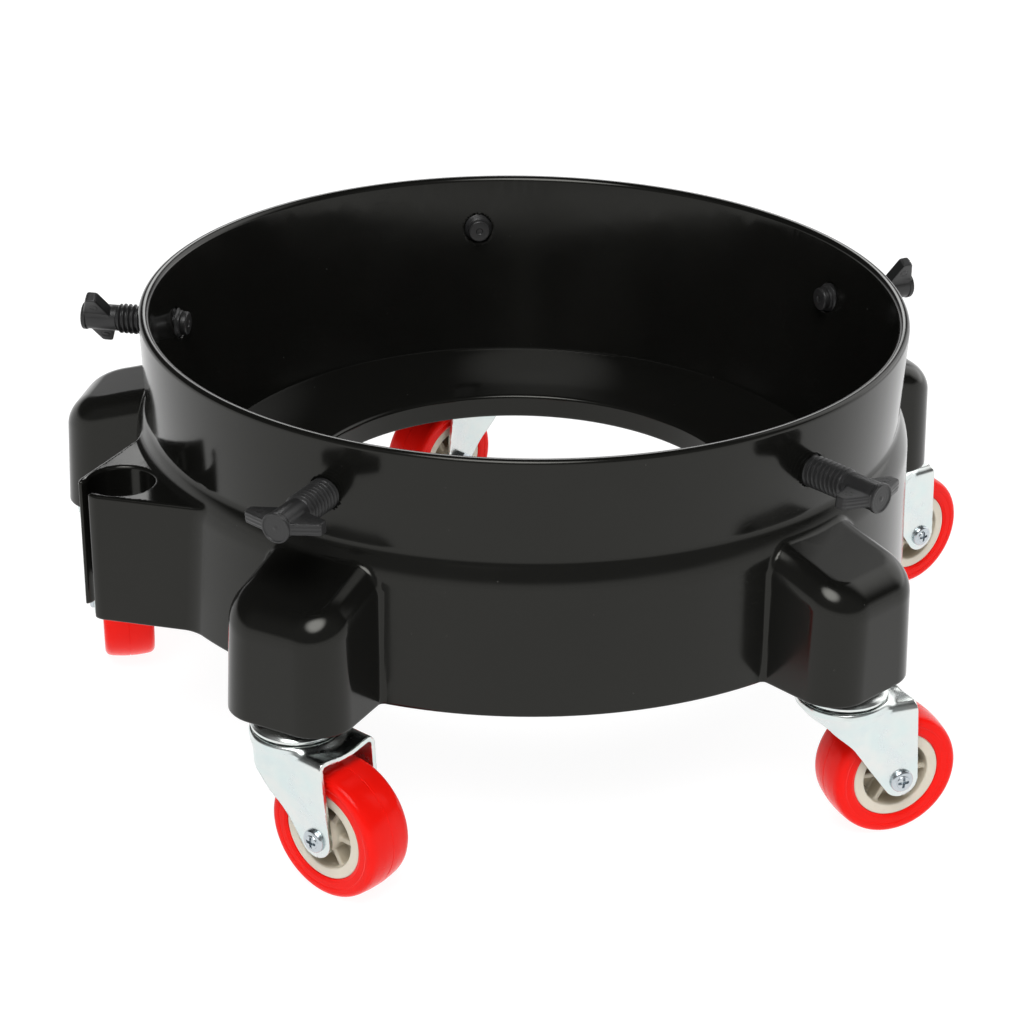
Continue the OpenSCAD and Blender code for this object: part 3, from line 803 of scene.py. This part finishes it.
def bright_steel():
    look = Look("bright_turned_steel", Metallic=1.0)
    ring = look.node("ShaderNodeTexWave", Vector=look.place, Scale=900.0, Distortion=1.5,
                     Detail=2.0)
    ring.wave_type, ring.rings_direction = "RINGS", "Z"
    cloud = look.noise(4, 3.0)
    base = look.blend(cloud, (0.44, 0.49, 0.52), (0.60, 0.64, 0.67))
    look.set(Base_Color=base, Roughness=look.span(cloud, 0.3, 0.7, 0.16, 0.28))
    look.bump((ring.outputs["Fac"], 0.003), (look.noise(1.5), 0.006))
    return look.material


def polished_steel():
    look = Look("bearing_ball_steel", Metallic=1.0)
    film = look.noise(2.5, 3.0)
    look.set(Base_Color=look.blend(film, (0.68, 0.68, 0.70), (0.82, 0.82, 0.83)),
             Roughness=look.span(film, 0.4, 0.7, 0.05, 0.14))
    look.bump((look.noise(0.8), 0.001))
    return look.material


def brass():
    look = Look("insert_brass", Metallic=1.0)
    cloud = look.noise(5, 4.0)
    look.set(Base_Color=look.blend(cloud, (0.58, 0.40, 0.16), (0.80, 0.62, 0.30)),
             Roughness=look.span(cloud, 0.3, 0.7, 0.2, 0.36))
    look.bump((look.noise(0.6, 2.0, look.stretched((1, 1, 9))), 0.006))
    return look.material


def beige_plastic():
    look = Look("hub_beige_plastic", Specular_IOR_Level=0.45, IOR=1.49)
    cloud = look.noise(8, 3.0)
    grime = look.span(look.noise(3.5, 4.0), 0.6, 0.78)
    base = look.blend(cloud, (0.655, 0.60, 0.49), (0.74, 0.69, 0.585))
    base = look.blend(look.math("MULTIPLY", grime, 0.25), base, (0.42, 0.36, 0.27))
    # Painted shade with some dust: the hub's inside, within 6.5 to 8.8 mm of its middle plane, is
    # darkened towards a dull brown, more in some patches than others
    split = look.node("ShaderNodeSeparateXYZ", Vector=look.place)
    inside = look.span(look.math("ABSOLUTE", split.outputs["Z"]), 0.0065, 0.0088, 1.0, 0.0)
    inside = look.math("MULTIPLY", inside, look.span(cloud, 0.2, 0.8, 0.5, 0.8))
    base = look.blend(inside, base, (0.40, 0.35, 0.26))
    look.set(Base_Color=base, Roughness=look.span(cloud, 0.3, 0.7, 0.28, 0.42))
    look.shader.inputs["Subsurface Weight"].default_value = 0.12
    look.shader.inputs["Subsurface Radius"].default_value = (0.004, 0.003, 0.002)
    look.bump((look.noise(0.5, 2.0), 0.006), (look.noise(4, 2.0), 0.02))
    return look.material


def red_polyurethane():
    look = Look("tread_red_polyurethane", Specular_IOR_Level=0.12, IOR=1.5)
    cloud = look.noise(16, 3.0)
    swirl = look.noise(5, 3.0, look.stretched((1, 1, 3)))
    scuff = look.span(look.noise(2.2, 4.0), 0.66, 0.78)
    base = look.blend(cloud, (0.86, 0.006, 0.003), (0.94, 0.011, 0.006))
    base = look.blend(look.math("MULTIPLY", scuff, 0.15), base, (0.62, 0.04, 0.035))
    rough = look.span(swirl, 0.3, 0.7, 0.14, 0.24)
    rough = look.math("ADD", rough, look.math("MULTIPLY", scuff, 0.18))
    look.set(Base_Color=base, Roughness=rough)
    look.bump((look.noise(7, 2.0), 0.03), (look.noise(0.9, 2.0), 0.003))
    return look.material


LOOKS = {
    "ring_plastic": gloss_black(), "screw_plastic": satin_black(), "zinc_steel": zinc_plate(),
    "bright_steel": bright_steel(), "ball_steel": polished_steel(), "brass": brass(),
    "hub_plastic": beige_plastic(), "tread_polyurethane": red_polyurethane(),
}


# ---------------------------------------------------------------- pieces

def thinned(mesh, field, share):
    """The mesh with fewer faces, set back on its surface and given the surface's normals."""
    scratch = bpy.data.objects.new("thinning", mesh)
    bpy.context.scene.collection.objects.link(scratch)
    thin = scratch.modifiers.new("thin", "DECIMATE")
    thin.ratio = share
    thin.use_collapse_triangulate = True
    bpy.context.view_layer.update()
    lean = scratch.evaluated_get(bpy.context.evaluated_depsgraph_get()).to_mesh()
    points = np.empty(len(lean.vertices) * 3, np.float32)
    lean.vertices.foreach_get("co", points)
    corners = np.empty(len(lean.loops), np.int32)
    lean.loops.foreach_get("vertex_index", corners)
    points = points.reshape(-1, 3).astype(float) / MM
    bpy.data.objects.remove(scratch)
    bpy.data.meshes.remove(mesh)
    error = np.clip(field(*points.T), -0.2, 0.2)
    points -= error[:, None] * slope(field, points)
    faces = corners.reshape(-1, 3)
    return mesh_from("ring_body", points, faces, corner_normals(field, points, faces))


def piece(name, mesh, body, slot, matrix, *nodes):
    """Shows a mesh in place of CAD nodes, riding on their body."""
    made = bpy.data.objects.new(name, mesh)
    bpy.context.scene.collection.objects.link(made)
    if not mesh.materials:
        mesh.materials.append(LOOKS[slot])
    made.matrix_world = matrix
    bpy.context.view_layer.update()
    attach(made, body)
    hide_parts(*nodes)
    return made


def shift(x, y, z):
    return Matrix.Translation(Vector((x, y, z)) * MM)


def turn(angle, axis):
    return Matrix.Rotation(angle, 4, axis)


RING_SHARE = 0.36

# The ring, whose one moulding stands for its CAD node
ring_points, ring_quads = contour(ring_field, ring_grid(), round_axis, closed=True)
ring_mesh = thinned(mesh_from("ring_contour", ring_points, ring_quads), ring_field, RING_SHARE)
piece("ring_moulding", ring_mesh, "root", "ring_plastic", Matrix.Identity(4), "ring_body")

# Shapes that every station shares, made once in their own axes
SHAPES = {
    "fork": field_mesh("fork", fork_field, fork_grid()),
    "bolt": field_mesh("axle_bolt", bolt_field, bolt_grid()),
    "nut": field_mesh("axle_nut", nut_field, nut_grid()),
    "hub": field_mesh("wheel_hub", hub_field, hub_grid(), round_axis, closed=True),
    "screw": field_mesh("clamp_screw", screw_field, screw_grid()),
    "tread": turned("tread", tread_outline(), 144),
    "cup": turned("race_cup", cup_outline()),
    "stem": turned("stem", stem_outline(), 48),
    "tip": tip_mesh(),
}

for k in STATIONS:
    swivel = Vector(JOINTS[f"caster_{k}_swivel"]["pos_m"]) / MM
    axle = Vector(JOINTS[f"wheel_{k}_roll"]["pos_m"]) / MM
    heading = math.atan2(axle.y - swivel.y, axle.x - swivel.x)
    at_caster = shift(swivel.x, swivel.y, 0) @ turn(heading, "Z")
    at_axle = at_caster @ shift(TRAIL, 0, AXLE_Z) @ turn(-math.pi / 2, "X")
    at_screw = (turn((k - 1) * STATION_STEP, "Z") @ shift(SCREW_END_AT, 0, SCREW_Z)
                @ turn(-math.pi / 2, "Y") @ turn(math.radians(SCREW_TURN[k - 1]), "Z"))
    for name, shape, body, slot, matrix, node in (
            ("swivel_stem", "stem", "root", "bright_steel", at_caster, "stem"),
            ("bearing_cup", "cup", "root", "zinc_steel", at_caster, "race_cup"),
            ("caster_fork", "fork", f"caster_{k}", "zinc_steel", at_caster, "fork"),
            ("pan_bolt", "bolt", f"caster_{k}", "bright_steel", at_axle, "axle_bolt"),
            ("lock_nut", "nut", f"caster_{k}", "bright_steel", at_axle, "axle_nut"),
            ("spoked_hub", "hub", f"wheel_{k}", "hub_plastic", at_axle, "wheel_hub"),
            ("cast_tread", "tread", f"wheel_{k}", "tread_polyurethane", at_axle, "tread"),
            ("winged_screw", "screw", f"screw_{k}", "screw_plastic", at_screw, "clamp_screw"),
            ("screw_end", "tip", f"tip_{k}", "screw_plastic", at_screw, "screw_tip")):
        piece(f"{name}_{k}", SHAPES[shape], body, slot, matrix, f"{node}_{k}")

# CAD nodes that stay, with a finish
KEPT = {"stem_inserts": "brass"}
KEPT.update({f"bearing_balls_{k}": "ball_steel" for k in STATIONS})
KEPT.update({f"axle_sleeve_{k}": "bright_steel" for k in STATIONS})
for name, slot in KEPT.items():
    node = frame["nodes"][name]
    node.data.materials.clear()
    node.data.materials.append(LOOKS[slot])


# ---------------------------------------------------------------- stage

CAMERA_TURN = math.radians(-26.5)


def add_floor():
    mesh = bpy.data.meshes.new("floor")
    half = 6.0
    corners = [(x * half, y * half, GROUND_Z * MM) for x, y in ((-1, -1), (1, -1), (1, 1), (-1, 1))]
    mesh.from_pydata(corners, [], [(0, 1, 2, 3)])
    look = Look("floor_pale", Roughness=0.8, Specular_IOR_Level=0.1, Emission_Strength=0.93)
    look.shader.inputs["Emission Color"].default_value = (1, 1, 1, 1)
    look.set(Base_Color=look.blend(look.noise(900, 2.0), (0.20, 0.20, 0.20), (0.215, 0.215, 0.215)))
    mesh.materials.append(look.material)
    floor = bpy.data.objects.new("floor", mesh)
    bpy.context.scene.collection.objects.link(floor)


# Soft lights: over the camera, behind the object and far to the right
SOFT_LIGHTS = [(236, 60, 23, 8), (63.5, 26, 12, 4.5), (12, 27, 34, 1.8)]
LIGHT_CORE = 0.3


def add_studio(horizon, dome, dark, lights):
    """Surroundings that are bright low down and on the near side, and dark high up behind.

    Each light is a soft round patch: azimuth, elevation and radius in degrees, and brightness.
    """
    world = bpy.data.worlds.new("studio")
    world.use_nodes = True
    look = Nodes(world.node_tree)
    way = look.node("ShaderNodeTexCoord").outputs["Generated"]

    def facing(toward):
        made = look.node("ShaderNodeVectorMath")
        made.operation = "DOT_PRODUCT"
        look.put(made.inputs[0], way)
        look.put(made.inputs[1], toward)
        return made.outputs["Value"]

    near = facing((math.sin(CAMERA_TURN), -math.cos(CAMERA_TURN), 0))
    low = look.span(facing((0, 0, 1)), 0.10, 0.26, horizon, 0.0)
    front = look.span(near, -0.1, 0.45, 0.0, dome)
    total = look.math("MAXIMUM", look.math("MAXIMUM", low, front), dark)
    for azimuth, elevation, radius, brightness in lights:
        around, up = math.radians(azimuth), math.radians(elevation)
        toward = (math.cos(up) * math.cos(around), math.cos(up) * math.sin(around), math.sin(up))
        edge, core = (math.cos(math.radians(radius * share)) for share in (1, LIGHT_CORE))
        glow = look.span(facing(toward), edge, core, 0.0, brightness)
        glow.node.interpolation_type = "SMOOTHSTEP"
        total = look.math("ADD", total, glow)
    background = look.tree.nodes["Background"]
    look.put(background.inputs["Strength"], total)
    background.inputs["Color"].default_value = (1, 1, 1, 1)
    bpy.context.scene.world = world


# Camera on a rig that is turned about the ring's axis, and its lens for a 36 mm sensor
CAMERA_FROM_RIM = (0, -952.3, 375.9)
CAMERA_PAN, CAMERA_TILT, CAMERA_ROLL = (math.radians(a) for a in (0.2085, 63.7852, 0.9090))
CAMERA_LENS = 91.65


def add_camera():
    data = bpy.data.cameras.new("camera")
    data.sensor_width, data.lens, data.clip_end = 36, CAMERA_LENS, 50
    made = bpy.data.objects.new("camera", data)
    bpy.context.scene.collection.objects.link(made)
    aim = turn(CAMERA_PAN, "Z") @ turn(CAMERA_TILT, "X") @ turn(CAMERA_ROLL, "Z")
    rig = turn(CAMERA_TURN, "Z") @ shift(0, 0, RIM_Z)
    made.matrix_world = rig @ shift(*CAMERA_FROM_RIM) @ aim
    bpy.context.scene.camera = made


add_floor()
add_studio(horizon=1.05, dome=0.22, dark=0.04, lights=SOFT_LIGHTS)
add_camera()
bpy.context.scene.view_settings.view_transform = "Standard"
